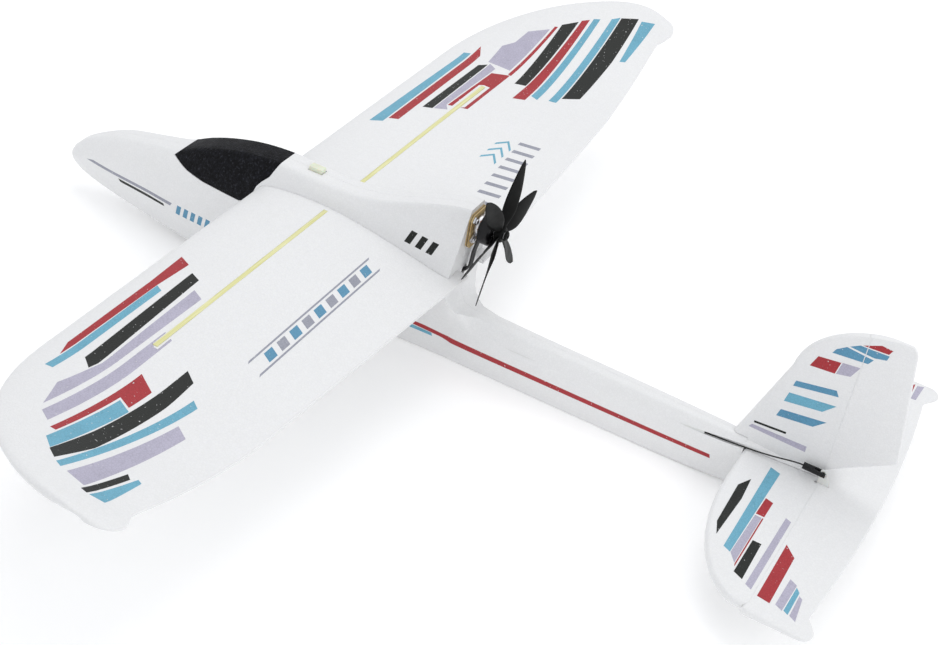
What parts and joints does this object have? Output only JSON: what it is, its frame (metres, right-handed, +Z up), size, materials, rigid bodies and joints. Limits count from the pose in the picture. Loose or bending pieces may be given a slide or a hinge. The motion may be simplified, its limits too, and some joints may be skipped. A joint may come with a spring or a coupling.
{
  "type": "rc glider",
  "caption": "Moulded foam radio control glider with a pusher motor on a pylon, two-piece wing, hinged elevator and rudder, pushrods and a lift-off canopy.",
  "frame": {"origin": "below the middle of the aircraft, at the height of the belly that it rests on", "axes": "+X towards the aircraft's left wing tip, -Y towards the nose, +Z up"},
  "size_m": [0.944, 0.8, 0.1985],
  "materials": {
    "foam_white": "moulded bead foam, satin white with a fine bead grain",
    "foam_black": "moulded bead foam, matt black",
    "plastic_black": "moulded plastic, satin black",
    "propeller_black": "glass-filled nylon, satin black",
    "motor_black": "anodised and painted motor bell, satin black",
    "glass_fibre": "pultruded glass fibre, translucent yellow",
    "carbon": "pultruded carbon tube, satin black",
    "plywood": "three-ply birch plywood, raw",
    "steel": "bright steel wire, shaft and screws",
    "aluminium": "turned aluminium, bright",
    "plastic_pale": "natural nylon, off-white",
    "shrink_blue": "heat-shrink sleeve, blue",
    "cable_black": "silicone cable, black",
    "webbing": "hook-and-loop strap, black"
  },
  "bodies": {
    "airframe": {"battery": "shrink_blue", "battery_lead": "cable_black", "battery_strap": "webbing", "canopy_catch_left": "plastic_black", "canopy_catch_right": "plastic_black", "elevator_guide_tube": "plastic_pale", "elevator_servo": "shrink_blue", "fin": "foam_white", "fuselage_left": "foam_white", "fuselage_right": "foam_white", "motor_lead_1": "cable_black", "motor_lead_2": "cable_black", "motor_lead_3": "cable_black", "motor_plate": "plywood", "motor_screw_1": "steel", "motor_screw_2": "steel", "motor_screw_3": "steel", "motor_screw_4": "steel", "motor_stator": "aluminium", "receiver": "plastic_black", "rudder_guide_tube": "plastic_pale", "rudder_servo": "shrink_blue", "speed_controller": "shrink_blue", "tailplane": "foam_white", "wing_joiner": "carbon", "wing_left": "foam_white", "wing_lock_key": "glass_fibre", "wing_right": "foam_white", "wing_spar_left": "glass_fibre", "wing_spar_right": "glass_fibre"},
    "power_train": {"motor_bell": "motor_black", "motor_shaft": "steel", "propeller": "propeller_black", "propeller_adapter": "aluminium", "propeller_nut": "propeller_black"},
    "elevator": {"elevator": "foam_white", "elevator_horn": "plastic_pale"},
    "rudder": {"rudder": "foam_white", "rudder_horn": "plastic_pale"},
    "elevator_pushrod": {"elevator_pushrod": "steel", "elevator_clevis": "plastic_black"},
    "rudder_pushrod": {"rudder_pushrod": "steel", "rudder_clevis": "plastic_black"},
    "elevator_servo_arm": {"elevator_servo_arm": "plastic_pale", "elevator_arm_screw": "steel"},
    "rudder_servo_arm": {"rudder_servo_arm": "plastic_pale", "rudder_arm_screw": "steel"},
    "canopy": {"canopy": "foam_black", "canopy_tongue_left": "plastic_black", "canopy_tongue_right": "plastic_black"}
  },
  "joints": [
    {"name": "propeller_spin", "type": "hinge", "parent": "airframe", "child": "power_train", "pos_m": [0, 0.0355, 0.137], "axis": [0, 1, 0], "continuous": true},
    {"name": "elevator_hinge", "type": "hinge", "parent": "airframe", "child": "elevator", "pos_m": [0, 0.349, 0.04], "axis": [1, 0, 0], "range_deg": [-20, 20]},
    {"name": "rudder_hinge", "type": "hinge", "parent": "airframe", "child": "rudder", "pos_m": [0, 0.349, 0.11], "axis": [0, 0, 1], "range_deg": [-25, 25]},
    {"name": "elevator_pushrod_slide", "type": "slide", "parent": "airframe", "child": "elevator_pushrod", "axis": [0, 1, 0], "range_m": [-0.0052, 0.0052]},
    {"name": "rudder_pushrod_slide", "type": "slide", "parent": "airframe", "child": "rudder_pushrod", "axis": [0, 1, 0], "range_m": [-0.0064, 0.0064]},
    {"name": "elevator_servo_turn", "type": "hinge", "parent": "airframe", "child": "elevator_servo_arm", "pos_m": [-0.001, -0.148, 0.038], "axis": [0, 0, 1], "range_deg": [-25, 25]},
    {"name": "rudder_servo_turn", "type": "hinge", "parent": "airframe", "child": "rudder_servo_arm", "pos_m": [0.001, -0.112, 0.038], "axis": [0, 0, 1], "range_deg": [-30, 30]},
    {"name": "canopy_lift", "type": "slide", "parent": "airframe", "child": "canopy", "axis": [0, 0, 1], "range_m": [0, 0.06]}
  ],
  "couplings": [
    {"joint": "elevator_pushrod_slide", "follows": "elevator_hinge", "m_per_rad": -0.014},
    {"joint": "rudder_pushrod_slide", "follows": "rudder_hinge", "m_per_rad": -0.014},
    {"joint": "elevator_servo_turn", "follows": "elevator_hinge", "ratio": -1.1667},
    {"joint": "rudder_servo_turn", "follows": "rudder_hinge", "ratio": 1.1667}
  ]
}
